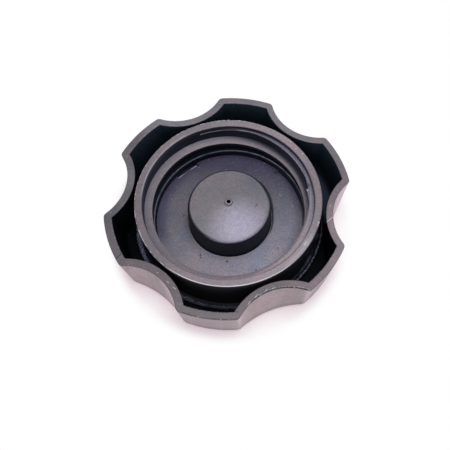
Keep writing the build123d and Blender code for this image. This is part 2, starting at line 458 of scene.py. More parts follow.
@dataclass(frozen=True)
class GripPlastic(MouldedPlastic):
    """The grip's plastic: grey rim with painted light and shade, outer walls pale from bleaching and painted
    light, and black pockets with painted light.
    """

    rim_heights: Span = (18.0, 18.35)
    # Painted light and shade: the rim's tone changes by sector, by oval and along a slope.
    rim_painted_light_sectors: tuple[Sector, ...] = (
        (-52.0, 34.0, 0.12), (102.0, 18.0, 0.22), (-170.0, 44.0, -0.14), (-12.0, 26.0, -0.12),
        (129.0, 16.0, -0.24), (164.0, 20.0, -0.14),
    )
    rim_painted_light_ovals: tuple[Oval, ...] = ((0.0, -36.0, 14.0, 8.0, -0.30),)
    wall_painted_light_ovals: tuple[Oval, ...] = (
        (-26.0, -22.0, 6.5, 6.0, 0.75), (-10.0, -38.0, 5.0, 5.0, 0.25), (8.0, -37.0, 9.0, 6.0, -0.12),
    )
    rim_painted_light_slope: Slope = (0.92, 0.0030, 0.0025)
    hue_drift: Span = (-18.0, 14.0)
    # Painted light on the outer walls towards +X, and painted highlights on a lobe, an edge and a corner.
    wall_lit: Span = (8.0, 38.0)
    wall_foot: Span = (6.5, 0.8)
    lit_lobe: Patch = (36.5, -9.0, 7.0, 12.0)
    lit_edge: Blot = (-10.6, -38.6, 0.5, 1.1)
    lit_corner: Blot = (11.9, -38.6, 0.7, 1.6)
    # Painted light in the pockets: paler far off and high up, a patch of light and a glint.
    pocket_far: Span = (0.0, 22.0)
    pocket_heights: Span = (4.0, 17.0)
    patch_heights: Span = (5.3, 4.9)
    patch_right: Span = (25.0, 28.0)
    patch_arc: Band = (-6.0, 18.0, 2.0)
    glint_spot: Blot = (36.9, 7.9, 0.25, 0.5)
    crack: Segment = ((-40.6, -7.1), (-37.4, -5.7))
    crack_width: Width = (0.09, 0.08)
    hairline: Segment = ((26.0, -19.8), (28.6, -18.9))
    hairline_width: Width = (0.05, 0.09)
    nick_width: Width = (0.04, 0.13)
    chip_width: Width = (0.12, 0.22)
    parting_middle: Point = (0.0, -50.7)
    parting_radius: float = 16.75
    parting_start: Span = (-7.4, -6.2)
    parting_end: Span = (12.4, 11.2)
    parting_opening: Span = (2.0, 8.0)
    torn_start: Span = (-8.4, -7.2)
    torn_width: Width = (0.03, 0.09)
    lobe_edge: float = 40.08
    joint_width: Width = (0.06, 0.09)
    joint_reach: tuple[Span, Span] = ((-133.0, -130.0), (-106.0, -107.5))
    joint_closed: Band = (-121.0, 2.5, 1.5)
    pocket_edge: float = 38.0
    bites: tuple[tuple[Band, Width], ...] = (
        ((-57.5, 5.0, 1.5), (0.16, 0.14)), ((-119.0, 12.0, 2.0), (0.12, 0.12)),
    )
    nicks: tuple[Segment, ...] = (
        ((21.6, -29.9), (21.8, -31.4)), ((-34.9, -8.4), (-34.4, -8.6)),
        ((-33.4, -8.9), (-33.0, -9.2)), ((-29.3, -15.7), (-29.0, -16.0)),
        ((-27.3, -19.7), (-26.9, -20.3)), ((-26.2, -22.0), (-25.6, -22.9)),
        ((29.1, -15.4), (29.6, -14.8)), ((30.9, -17.1), (31.3, -16.4)),
        ((-7.3, -35.6), (-6.2, -34.8)), ((-4.6, -34.3), (-3.5, -33.6)),
        ((-0.9, -33.6), (-0.2, -33.2)), ((1.2, -33.7), (1.9, -33.5)),
    )
    chips: tuple[Point, ...] = ((22.3, -29.5), (19.6, -31.7), (-28.7, -13.8), (-29.0, -13.2))
    warm_tint: Colour = (1.03, 0.97, 0.97)
    cool_tint: Colour = (0.95, 1.03, 1.04)
    # Pale outer wall colours, partly bleaching and partly painted light; then a painted highlight, and
    # painted light and a painted glint for the pockets.
    bleached_and_lit: Colour = (0.315, 0.240, 0.262)
    bleached_and_lit_cool: Colour = (0.294, 0.234, 0.262)
    painted_highlight: Colour = (0.72, 0.56, 0.64)
    painted_light_patch: Colour = (0.030, 0.040, 0.066)
    painted_glint: Colour = (0.16, 0.17, 0.21)

    def material(self) -> bpy.types.Material:
        """Makes the material of the grip cover.

        Returns:
            The material.
        """
        place = Place(bpy.data.materials.new("grip_plastic_faded"))
        grain = self.grain_of(place)
        rim = place.step(place.height, *self.rim_heights)
        outside = place.larger(place.step(place.outward, 0.05, 0.3), place.step(place.up, -0.3, -0.7))
        colour = place.blend(outside, self.pocket(place, grain), self.outer_wall(place, grain))
        # Painted light and shade on the rim's tone.
        tone = place.toned(place.slope(*self.rim_painted_light_slope), self.rim_painted_light_sectors, self.rim_painted_light_ovals)
        hue = place.blend(place.step(place.y, *self.hue_drift), self.warm_tint, self.cool_tint)
        top = place.tint(self.tinted(place, self.faded_and_sheen, self.cool), hue)
        colour = place.blend(rim, colour, place.shade(top, grain * tone))
        colour = self.marks(place, colour, rim)
        colour = self.torn_edges(place, colour, rim)
        # Painted shade: the pockets lose their sheen.
        self.finish(place, colour, 1.0, (1.0 - outside) * (1.0 - rim))
        return place.owner

    def pocket(self, place: Place, grain: Signal) -> Signal:
        """Gives the pockets' colour: black, with painted light that grows far off and high up, a dull blue
        patch of painted light and a painted glint.

        Args:
            place: Where the surface is.
            grain: The grain's factor.

        Returns:
            The colour.
        """
        # Painted light: a patch where light gets into a pocket.
        lit = place.step(place.height, *self.patch_heights) * place.step(place.x, *self.patch_right)
        lit = lit * place.band(place.angle, *self.patch_arc)
        cloud = place.noise(place.point, 0.35, 3.0, 0.6)
        # Painted light: the pockets are paler far off and high up.
        far = place.step(place.y + place.x * 0.5, *self.pocket_far)
        high = place.step(place.height, *self.pocket_heights)
        amount = 0.2 + cloud * 0.5 + high * 0.6 + far * (1.6 + cloud * 1.2 + high * 2.6)
        colour = place.shade(self.deep, grain * amount)
        colour = place.blend(lit * (0.65 + cloud * 0.5), colour, self.painted_light_patch)
        return place.blend(lit * place.near(*self.glint_spot), colour, self.painted_glint)

    def outer_wall(self, place: Place, grain: Signal) -> Signal:
        """Gives the outer walls' colour, with painted light palest towards the light, painted highlights, and
        darker near the foot.

        Args:
            place: Where the surface is.
            grain: The grain's factor.

        Returns:
            The colour.
        """
        # Painted light: paler towards +X and in the ovals.
        tone = place.toned(1.30 + place.step(place.x, *self.wall_lit) * 0.75, ovals=self.wall_painted_light_ovals)
        streaks = place.noise(place.vector(place.angle * 0.35, place.height * 0.09), 1.0, 3.0, 0.6)
        foot = place.step(place.height, *self.wall_foot)
        amount = grain * tone * (1.0 + (streaks - 0.5) * 0.3 - foot * 0.24)
        colour = place.shade(self.tinted(place, self.bleached_and_lit, self.bleached_and_lit_cool), amount)
        # Painted highlights on a lobe, an edge and a corner.
        edge = place.near(*self.lit_edge)
        corner = place.near(*self.lit_corner) * 0.5
        lit = place.larger(place.oval(*self.lit_lobe), place.larger(edge * 0.7, corner))
        return place.blend(lit, colour, self.painted_highlight)

    def marks(self, place: Place, colour: Signal, rim: Signal) -> Signal:
        """Adds the crack, the hairline, the nicks and the chips to the rim.

        Args:
            place: Where the surface is.
            colour: The plastic's colour.
            rim: 1 on the rim.

        Returns:
            The colour with its marks.
        """
        colour = place.blend(place.stroke(*self.crack, *self.crack_width) * rim, colour, self.deep)
        hairline = place.stroke(*self.hairline, *self.hairline_width) * rim
        colour = place.blend(hairline * 0.8, colour, self.worn)
        for start, end in self.nicks:
            nick = place.stroke(start, end, *self.nick_width) * rim
            colour = place.blend(nick * 0.6, colour, self.worn)
        for x, y in self.chips:
            colour = place.blend(place.near(x, y, *self.chip_width) * rim, colour, self.deep)
        return colour

    def torn_edges(self, place: Place, colour: Signal, rim: Signal) -> Signal:
        """Adds the open joint along the rim's outer edge, and what is torn off its inner edge.

        Args:
            place: Where the surface is.
            colour: The plastic's colour.
            rim: 1 on the rim.

        Returns:
            The colour with its torn edges.
        """
        ragged = place.noise(place.vector(place.angle * 0.9, place.height * 0.6), 1.0, 3.0, 0.7)
        away = place.away(*self.parting_middle)
        open_end = place.step(place.x, *self.parting_opening) * 0.07
        scallop = place.size(away + (ragged - 0.5) * 0.3 - self.parting_radius) - open_end
        scallop = place.step(scallop, 0.15, 0.06)
        scallop = scallop * place.between(place.x, self.parting_start, self.parting_end)
        lobe = place.band(place.radius + (ragged - 0.5) * 0.4, self.lobe_edge, *self.joint_width)
        lobe = lobe * place.between(place.angle, *self.joint_reach)
        lobe = lobe * (1.0 - place.band(place.angle, *self.joint_closed) * 0.8)
        joint = place.larger(scallop * place.step(ragged, 0.30, 0.38), lobe * place.step(ragged, 0.42, 0.50))
        colour = place.blend(joint * rim, colour, self.deep)
        torn = place.band(away - (ragged - 0.5) * 0.3, self.parting_radius + 0.26, *self.torn_width)
        torn = torn * place.between(place.x, self.torn_start, self.parting_end) * rim
        colour = place.blend(torn * place.step(ragged, 0.44, 0.56) * 0.6, colour, self.worn)
        inner = place.band(place.radius + (ragged - 0.5) * 0.5, self.pocket_edge + 0.05, 0.10, 0.12) * rim
        colour = place.blend(inner * place.step(ragged, 0.52, 0.60) * 0.30, colour, self.worn)
        bitten = 0.0
        for arc, width in self.bites:
            bite = place.band(place.angle, *arc) * place.band(place.radius, self.pocket_edge, *width)
            bitten = place.larger(bitten, bite)
        return place.blend(bitten * place.step(ragged, 0.46, 0.56) * rim, colour, self.deep)


@dataclass(frozen=True)
class CupPlastic(MouldedPlastic):
    """The threaded cup's plastic: grey on all that faces the mouth, black on walls and in the pockets, with
    painted light, shade and highlights by side.
    """

    rim_heights: Span = (18.55, 18.75)
    # Painted light and shade: the rim's tone changes by sector and along a slope.
    rim_painted_light_sectors: tuple[Sector, ...] = (
        (-80.0, 40.0, 0.24), (45.0, 42.0, 0.26), (178.0, 50.0, -0.28), (-22.0, 36.0, -0.20),
    )
    rim_nicks: tuple[Spot, ...] = (
        (2.9, 30.2, 0.30), (7.7, 29.3, 0.26), (13.3, 27.2, 0.30), (-27.6, 12.7, 0.34),
        (-24.4, 18.0, 0.26), (-21.3, 21.5, 0.26), (-29.9, 5.3, 0.24), (23.4, -19.3, 0.40),
        (22.7, -20.0, 0.30), (27.4, 12.0, 0.26), (27.9, 8.7, 0.22), (29.1, 6.0, 0.24),
    )
    seat_spots: tuple[Spot, ...] = ((-9.6, 24.3, 0.55), (-4.3, 25.2, 0.60))
    rim_painted_light_slope: Slope = (1.24, 0.0030, -0.0025)
    bore_edge: Span = (29.4, 29.0)
    boss_foot: Span = (15.6, 15.2)
    # Painted shade: where the sheen is taken out.
    shelter_heights: Span = (17.6, 16.6)
    dull_side: Side = (20.0, 62.0)
    dull_depth: Span = (25.8, 26.8)
    streak_arc: Band = (-56.0, 20.0, 18.0)
    streak_heights: Span = (17.6, 14.5)
    foot_heights: Span = (7.0, 2.5)
    foot_front: Span = (8.0, -4.0)
    # Painted light and shade inside the bore, by slope and by side.
    wall_slope: Slope = (0.5, 0.014, -0.020)
    far_side: Side = (148.0, 50.0)
    right_side: Side = (4.0, 36.0)
    near_side: Side = (-80.0, 30.0)
    left_side: Side = (-136.0, 26.0)
    root_side: Side = (-75.0, 62.0)
    bright_right: Side = (-52.0, 46.0)
    bright_left: Side = (-100.0, 50.0)
    dusky_side: Side = (22.0, 62.0)
    dusky_depth: Span = (25.75, 27.25)
    flank_depth: Span = (27.9, 25.7)
    crest_depth: Span = (25.9, 26.6)
    seat_heights: Span = (7.6, 7.0)
    seat_edge: Span = (25.75, 25.5)
    # Painted light on one side of the seat.
    seat_lit_side: Side = (-32.0, 30.0)
    # Painted highlight on the lip's edge.
    lip_ring: Band = (25.92, 0.12, 0.12)
    lip_heights: Band = (6.4, 0.25, 0.2)
    lip_lit_side: Side = (34.0, 40.0)
    # Painted highlight on the ledge.
    ledge_height: float = 13.35
    ledge_rise: float = 0.053
    ledge_dip: float = 0.3
    ledge_foot: Span = (-0.25, 0.15)
    ledge_fade: Span = (17.9, 14.3)
    ledge_depth: Span = (27.1, 27.45)
    ledge_over: Span = (12.4, 13.4)
    ledge_fold: Blot = (26.2, -4.4, 0.5, 0.85)
    ledge_tail: Span = (-6.5, -10.0)
    ledge_arc: Band = (22.0, 36.0, 24.0)
    # Painted sheen at the front of the boss, and painted shade on its right, its front side and its far
    # rounding.
    sheen: Patch = (0.2, -10.0, 14.0, 13.5)
    blue_side: Patch = (11.5, 5.0, 9.0, 11.0)
    boss_dark: Span = (-2.0, -12.0)
    boss_rounding: Span = (0.975, 0.86)
    boss_far: Span = (-9.0, -3.0)
    vent_middle: Point = (-0.15, -0.15)
    vent_ring: Band = (1.30, 0.08, 0.12)
    vent_hole: Span = (0.74, 0.66)
    boss_mark: Blot = (8.0, -3.6, 0.55, 0.12)
    boss_mark_open: Span = (11.2, 11.8)
    outer_edge: float = 30.42
    worn_width: Width = (0.12, 0.14)
    smooth_side: Side = (-20.0, 70.0)
    # Painted highlight along the rim's outer edge at the front.
    lit_front: tuple[Span, Span] = ((-152.0, -138.0), (-56.0, -70.0))
    lit_lean: Span = (0.0, 12.0)
    lit_width: Width = (0.07, 0.09)
    smear_patch: Patch = (16.4, -24.2, 1.5, 1.2)
    smear_stroke: Segment = ((15.9, -24.5), (16.8, -23.7))
    smear_width: Width = (0.05, 0.25)
    pale_ring: Band = (29.9, 0.4, 0.7)
    pale_arc: Band = (-62.0, 9.0, 9.0)
    mouth_edge: float = 28.10
    slit_width: Width = (0.04, 0.10)
    slit_arc: Band = (-33.0, 12.0, 8.0)
    mouth_width: Width = (0.08, 0.12)
    mouth_arc: Band = (128.0, 22.0, 12.0)
    pale_streak: Colour = (0.120, 0.128, 0.195)
    wall: Colour = (0.009, 0.011, 0.021)
    # Painted light on the bore's walls, by slope and by side.
    wall_painted_light: Colour = (0.055, 0.048, 0.072)
    wall_far_painted_light: Colour = (0.040, 0.045, 0.080)
    wall_right_painted_light: Colour = (0.060, 0.058, 0.095)
    wall_near_painted_light: Colour = (0.25, 0.205, 0.225)
    flank: Colour = (0.205, 0.162, 0.180)
    flank_cool: Colour = (0.168, 0.150, 0.182)
    root: Colour = (0.135, 0.125, 0.170)
    # Painted light on the flank roots at the front, and painted shade on the dim flanks.
    root_near_painted_light: Colour = (0.190, 0.160, 0.182)
    dusky: Colour = (0.018, 0.020, 0.038)
    seat: Colour = (0.016, 0.019, 0.033)
    # Painted light on the seat.
    seat_lit: Colour = (0.120, 0.115, 0.170)
    seat_spot: Colour = (0.001, 0.0015, 0.003)
    # Painted highlights on the ledge and on the lip.
    ledge_highlight: Colour = (0.70, 0.66, 0.84)
    lip_highlight: Colour = (0.22, 0.24, 0.33)
    lip_lit: Colour = (0.38, 0.40, 0.54)
    top: Colour = (0.186, 0.162, 0.186)
    top_cool: Colour = (0.158, 0.158, 0.182)
    # Painted shade on the boss's right, painted sheen at its front, and painted shade on its front side, its
    # far rounding and in the vent hole.
    top_painted_shade: Colour = (0.105, 0.112, 0.150)
    painted_sheen: Colour = (0.345, 0.315, 0.43)
    boss_front: Colour = (0.011, 0.013, 0.028)
    boss_edge_painted_shade: Colour = (0.010, 0.010, 0.018)
    hole: Colour = (0.001, 0.001, 0.002)
    mark: Colour = (0.04, 0.036, 0.05)
    # Painted highlight and painted shade along the rim's outer edge.
    edge_lit: Colour = (0.74, 0.70, 0.76)
    edge_under_shade: Colour = (0.03, 0.03, 0.035)
    smear: Colour = (0.66, 0.64, 0.74)
    slit: Colour = (0.06, 0.052, 0.065)
    # Painted highlight on the mouth's inner edge.
    mouth_lit: Colour = (0.40, 0.40, 0.52)

    def material(self) -> bpy.types.Material:
        """Makes the material of the threaded cup.

        Returns:
            The material.
        """
        place = Place(bpy.data.materials.new("cup_plastic_faded"))
        grain = self.grain_of(place)
        in_bore = place.step(place.radius, *self.bore_edge)
        on_boss = place.step(place.radius, *self.boss_foot)
        rim = place.step(place.height, *self.rim_heights)
        facing = place.step(place.up, 0.25, 0.9)
        inside = place.blend(on_boss, self.bore(place, facing), self.boss(place, facing))
        colour = place.blend(in_bore, self.outer_wall(place, grain), place.shade(inside, grain))
        # Painted light and shade on the rim's tone.
        tone = place.toned(place.slope(*self.rim_painted_light_slope), self.rim_painted_light_sectors)
        top = place.shade(self.tinted(place, self.faded_and_sheen, self.cool), grain * tone)
        colour = self.edges(place, place.blend(rim, colour, top), rim)
        # Painted shade: the sheen is taken out low down, on the seat and on the bore's dim side.
        sheltered = place.step(place.height, *self.shelter_heights)
        sheltered = sheltered * (1.0 - facing * in_bore) * (1.0 - in_bore * 0.3)
        seat = place.step(place.height, *self.seat_heights) * (1.0 - on_boss)
        dull = place.towards(*self.dull_side) * place.step(place.radius, *self.dull_depth)
        dull = dull * in_bore * place.step(rim, 0.5, 0.0)
        self.finish(place, colour, 1.0, place.larger(place.larger(sheltered, seat * 0.7), dull * 0.85))
        return place.owner

    def outer_wall(self, place: Place, grain: Signal) -> Signal:
        """Gives the colour of the collar's outside: black, with pale bluish streaks on one side and a paler
        front foot.

        Args:
            place: Where the surface is.
            grain: The grain's factor.

        Returns:
            The colour.
        """
        streaks = place.noise(place.vector(place.angle * 0.06, place.height * 0.42), 1.0, 4.0, 0.65)
        side = place.band(place.angle, *self.streak_arc) * place.step(place.height, *self.streak_heights)
        foot = place.step(place.height, *self.foot_heights) * place.step(place.y, *self.foot_front)
        streaked = place.larger(side * place.step(streaks, 0.38, 0.66) * 0.8, foot * 0.06)
        return place.blend(streaked, place.shade(self.deep, grain), self.pale_streak)

    def bore(self, place: Place, facing: Signal) -> Signal:
        """Gives the colour inside the collar: pale thread flanks, dark walls, a dark seat with a painted
        highlight on its lip, all with painted light and shade by side.

        Args:
            place: Where the surface is.
            facing: 1 where the surface faces the mouth.

        Returns:
            The colour.
        """
        # Painted light: the walls are paler along a slope and on the far, right, near and left sides.
        wall = place.blend(place.slope(*self.wall_slope) * 0.45, self.wall, self.wall_painted_light)
        wall = place.blend(place.towards(*self.far_side) * 0.45, wall, self.wall_far_painted_light)
        wall = place.blend(place.towards(*self.right_side) * 0.7, wall, self.wall_right_painted_light)
        near = place.larger(place.towards(*self.near_side), place.towards(*self.left_side))
        wall = place.blend(near * 0.9, wall, self.wall_near_painted_light)
        pale = self.tinted(place, self.flank, self.flank_cool)
        # Painted light and shade: dark flank roots, paler at the front, and brighter crests on the lit sides.
        root = place.blend(place.towards(*self.root_side), self.root, self.root_near_painted_light)
        flank = place.blend(place.step(place.radius, *self.flank_depth), root, pale)
        bright = place.towards(*self.bright_right) * 0.75
        bright = bright + place.larger(near, place.towards(*self.bright_left)) * 0.25
        flank = place.shade(flank, 1.0 + bright * place.step(place.radius, *self.crest_depth))
        # Painted shade on the flanks of the dim side.
        dusky = place.step(place.radius - place.angle * 0.015, *self.dusky_depth)
        dusky = place.towards(*self.dusky_side) * dusky
        flank = place.blend(dusky, flank, self.dusky)
        deep_in = place.step(place.height, *self.seat_heights)
        on_floor = deep_in * place.step(place.radius, *self.seat_edge)
        # Painted light on the seat's lit side.
        seat = place.blend(place.towards(*self.seat_lit_side), self.seat, self.seat_lit)
        flank = place.blend(deep_in, flank, seat)
        colour = place.blend(facing, wall, flank)
        # Painted highlight on the ledge.
        colour = place.blend(self.ledge(place), colour, self.ledge_highlight)
        # Painted highlight on the lip's edge.
        on_lip = place.band(place.radius, *self.lip_ring) * place.band(place.height, *self.lip_heights)
        broken = place.noise(place.vector(place.angle * 0.12, 0.0), 1.0, 3.0, 0.6)
        lip_highlight = place.blend(place.towards(*self.lip_lit_side), self.lip_highlight, self.lip_lit)
        colour = place.blend(on_lip * (0.45 + place.step(broken, 0.35, 0.6) * 0.5), colour, lip_highlight)
        for x, y, reach in self.seat_spots:
            spot = place.near(x, y, reach * 0.6, reach * 0.6)
            colour = place.blend(spot * on_floor, colour, self.seat_spot)
        return colour

    def ledge(self, place: Place) -> Signal:
        """Marks the painted highlight on the ledge over the thread's start, which widens as it leads down to
        the right.

        Args:
            place: Where the surface is.

        Returns:
            1 on the ledge's lower edge, falling towards the rim, and 0 elsewhere.
        """
        lowest = self.ledge_height + place.angle * self.ledge_rise
        lowest = lowest - place.larger(-place.angle, 0.0) * self.ledge_dip
        inside = place.step(place.height - lowest, *self.ledge_foot)
        inside = inside * place.step(place.height, *self.ledge_fade)
        reached = place.step(place.radius, *self.ledge_depth)
        reached = place.larger(reached, place.step(place.height, *self.ledge_over))
        fold = place.near(*self.ledge_fold) * 0.95
        tail = place.step(place.angle, *self.ledge_tail) * 0.24
        reached = reached * (1.0 - place.larger(fold, tail))
        return inside * place.band(place.angle, *self.ledge_arc) * reached

    def boss(self, place: Place, facing: Signal) -> Signal:
        """Gives the boss's colour: grey cone with a painted lavender sheen at the front and painted shade on
        its right and far rounding, dark side.

        Args:
            place: Where the surface is.
            facing: 1 where the surface faces the mouth.

        Returns:
            The colour.
        """
        top = self.tinted(place, self.top, self.top_cool)
        # Painted sheen at the front of the cone, and painted shade on its right side.
        top = place.blend(place.oval(*self.sheen), top, self.painted_sheen)
        top = place.blend(place.oval(*self.blue_side) * 0.55, top, self.top_painted_shade)
        # Painted shade, dark blue, on the front of the side, and on the far rounding.
        side = place.blend(place.step(place.y, *self.boss_dark), self.wall, self.boss_front)
        rounding = place.step(place.up, *self.boss_rounding)
        rounding = rounding * place.step(place.y - place.x * 0.3, *self.boss_far)
        top = place.blend(rounding * 0.94, top, self.boss_edge_painted_shade)
        colour = place.blend(facing, side, top)
        ring = place.band(place.away(*self.vent_middle), *self.vent_ring) * facing
        colour = place.blend(ring * 0.6, colour, self.deep)
        # Painted shade in the vent hole.
        colour = place.blend(place.step(place.radius, *self.vent_hole), colour, self.hole)
        mark = place.ring_mark(*self.boss_mark) * place.step(place.x - place.y, *self.boss_mark_open)
        return place.blend(mark * facing * 0.8, colour, self.mark)

    def edges(self, place: Place, colour: Signal, rim: Signal) -> Signal:
        """Adds the pale worn edges of the rim, its nicks, its smear, its dark slit, and the painted
        highlights and shade along its edges.

        Args:
            place: Where the surface is.
            colour: The plastic's colour.
            rim: 1 on the rim.

        Returns:
            The colour with its worn edges.
        """
        ragged = place.noise(place.vector(place.angle * 0.11, place.height * 0.5), 1.0, 5.0, 0.75)
        edge = place.band(place.radius + (ragged - 0.5) * 0.5, self.outer_edge, *self.worn_width) * rim
        edge = edge * (1.0 - place.towards(*self.smooth_side))
        colour = place.blend(edge * place.step(ragged, 0.52, 0.60) * 0.8, colour, self.worn)
        # Painted highlight along the outer edge at the front, and painted shade just outside it.
        front = place.between(place.angle, *self.lit_front)
        leaning = place.step(place.x, *self.lit_lean) * 0.22
        bright = place.band(place.radius - leaning, self.outer_edge - 0.26, *self.lit_width) * front
        colour = place.blend(bright * rim * 0.85, colour, self.edge_lit)
        under = place.step(place.radius, self.outer_edge - 0.12, self.outer_edge) * front
        colour = place.blend(under, colour, self.edge_under_shade)
        for x, y, reach in self.rim_nicks:
            colour = place.blend(place.near(x, y, reach * 0.5, reach * 0.7) * rim * 0.8, colour, self.worn)
        smear = place.oval(*self.smear_patch) * 0.16
        smear = smear + place.stroke(*self.smear_stroke, *self.smear_width) * 0.3
        pale = place.band(place.radius, *self.pale_ring) * place.band(place.angle, *self.pale_arc) * 0.16
        colour = place.blend((smear + pale) * rim, colour, self.smear)
        slit = place.band(place.radius, self.mouth_edge, *self.slit_width)
        slit = slit * place.band(place.angle, *self.slit_arc) * rim
        colour = place.blend(slit * 0.8, colour, self.slit)
        # Painted highlight on the mouth's inner edge.
        inner = place.band(place.radius, self.mouth_edge + 0.22, *self.mouth_width)
        inner = inner * place.band(place.angle, *self.mouth_arc) * rim
        return place.blend(inner * place.step(ragged, 0.36, 0.5) * 0.55, colour, self.mouth_lit)


@dataclass(frozen=True)
class GasketRubber(MouldedPlastic):
    """Bluish rubber, with painted light towards the front, painted shadow on the far side and beside the
    boss, and turning marks, scratches and specks.
    """

    deep: Colour = (0.012, 0.013, 0.024)
    # The rubber's grey is partly its own fading and partly painted sheen.
    faded_and_sheen: Colour = (0.174, 0.146, 0.176)
    cool: Colour = (0.128, 0.134, 0.186)
    # Painted shadow on the far side, at the outer edge and beside the boss.
    shaded: Colour = (0.038, 0.034, 0.088)
    contact_shadow: Colour = (0.022, 0.021, 0.040)
    # Painted highlight on the notch's edges.
    notch_highlight: Colour = (0.40, 0.38, 0.52)
    scored_light: Colour = (0.22, 0.21, 0.29)
    scratch_light: Colour = (0.34, 0.34, 0.41)
    # Painted highlight at the boss's foot.
    foot_highlight: Colour = (0.34, 0.34, 0.46)
    fleck: Colour = (0.30, 0.30, 0.38)
    roughness: float = 0.52
    # Painted light and shadow by slope, by side and beside the boss.
    painted_light_slope: Slope = (1.2, -0.006, -0.030)
    shadow_far: Span = (8.0, 23.0)
    edge_depth: Span = (20.5, 24.2)
    edge_far: Span = (-16.0, -7.0)
    edge_lit_side: Side = (-34.0, 30.0)
    contact_edge: Span = (15.30, 14.75)
    contact_arc: Band = (-3.0, 34.0, 20.0)
    contact_start: float = -17.0
    contact_spread: float = 0.057
    contact_most: float = 2.6
    contact_front: Side = (-28.0, 26.0)
    notch_width: Width = (0.12, 0.16)
    scratch_width: Width = (0.06, 0.13)
    scored_arc: Band = (6.0, 30.0, 22.0)
    scored_ring: Band = (20.6, 3.2, 1.6)
    foot_ring: Band = (14.86, 0.06, 0.10)
    foot_arc: Band = (-148.0, 20.0, 12.0)
    # Painted light and shade by sector.
    sectors: tuple[Sector, ...] = (
        (-72.0, 52.0, 0.16), (178.0, 36.0, -0.22), (6.0, 44.0, -0.20),
    )
    notch_edges: tuple[Segment, ...] = (
        ((-11.4, 21.8), (-7.4, 23.4)), ((-7.4, 23.4), (-3.9, 24.1)),
    )
    scratches: tuple[Segment, ...] = (
        ((21.9, -3.2), (22.1, -4.6)), ((19.5, 2.2), (19.7, 1.0)),
        ((-20.9, -1.2), (-19.9, -1.3)), ((-18.4, -6.9), (-17.2, -7.2)),
        ((19.2, 16.2), (19.6, 15.6)),
    )
    pits: tuple[Spot, ...] = (
        (-14.3, -9.4, 0.30), (-14.6, -10.3, 0.26), (-6.8, -15.0, 0.34), (10.9, -16.9, 0.22),
        (1.0, -21.4, 0.26), (-14.7, 6.7, 0.24), (21.8, 10.6, 0.55), (-3.4, 24.1, 0.50),
    )

    def material(self) -> bpy.types.Material:
        """Makes the material of the sealing gasket.

        Returns:
            The material.
        """
        place = Place(bpy.data.materials.new("gasket_rubber_mottled"))
        turning = place.noise(place.vector(place.radius * 3.0, place.angle * 0.05), 1.0, 3.0, 0.7)
        coarse = place.noise(place.point, 1.8, 2.0, 0.7)
        grain = self.grain_of(place) + (turning - 0.5) * 0.32 + (coarse - 0.5) * 0.75
        # Painted light and shade on the rubber's tone.
        tone = place.toned(place.slope(*self.painted_light_slope), self.sectors)
        colour = place.shade(self.tinted(place, self.faded_and_sheen, self.cool), tone)
        # Painted shadow on the far side and at the outer edge, lifted on the lit side.
        dark = place.step(place.x * 0.60 + place.y * 0.80, *self.shadow_far)
        edge = place.step(place.radius, *self.edge_depth)
        edge = edge * place.step(place.x * 0.5 + place.y, *self.edge_far)
        edge = edge * (1.0 - place.towards(*self.edge_lit_side) * 0.6)
        colour = place.blend(place.larger(dark * 0.85, edge * 0.80), colour, self.shaded)
        colour = self.lines(place, colour)
        # Painted shadow beside the boss, widening to the right.
        leaning = place.larger(place.angle - self.contact_start, 0.0) * self.contact_spread
        leaning = place.smaller(leaning, self.contact_most) + place.towards(*self.contact_front) * 0.18
        beside = place.step(place.radius - leaning, *self.contact_edge)
        beside = beside * place.band(place.angle, *self.contact_arc)
        colour = place.blend(beside * 0.92, colour, self.contact_shadow)
        for x, y, reach in self.pits:
            colour = place.blend(place.near(x, y, reach * 0.6, reach) * 0.92, colour, self.deep)
        colour = place.blend(place.specks(0.9, 0.16, 0.05) * 0.5, colour, self.fleck)
        colour = place.blend(place.specks(1.1, 0.16, 0.06, 7.0) * 0.5, colour, self.deep)
        # Painted shade on the faces that do not face up.
        colour = place.blend(place.step(place.up, 0.3, 0.8), self.deep, place.shade(colour, grain))
        # Painted shade beside the boss: the sheen is taken out there.
        self.finish(place, colour, 0.9, beside * 0.95)
        return place.owner

    def lines(self, place: Place, colour: Signal) -> Signal:
        """Adds the painted highlights on the notch's edges, turning marks, scratches and the painted
        highlight line at the boss's foot.

        Args:
            place: Where the surface is.
            colour: The rubber's colour.

        Returns:
            The colour with its lines.
        """
        # Painted highlights on the notch's edges.
        for start, end in self.notch_edges:
            cut = place.stroke(start, end, *self.notch_width)
            colour = place.blend(cut * 0.95, colour, self.notch_highlight)
        arcs = place.noise(place.vector(place.radius * 4.5, place.angle * 0.36, 3.0), 1.0, 2.0, 0.7)
        scored = place.step(arcs, 0.55, 0.66) * place.band(place.angle, *self.scored_arc)
        scored = scored * place.band(place.radius, *self.scored_ring)
        colour = place.blend(scored * 0.5, colour, self.scored_light)
        for start, end in self.scratches:
            scratch = place.stroke(start, end, *self.scratch_width)
            colour = place.blend(scratch * 0.5, colour, self.scratch_light)
        # Painted highlight at the boss's foot.
        foot = place.band(place.radius, *self.foot_ring) * place.band(place.angle, *self.foot_arc)
        return place.blend(foot * 0.7, colour, self.foot_highlight)


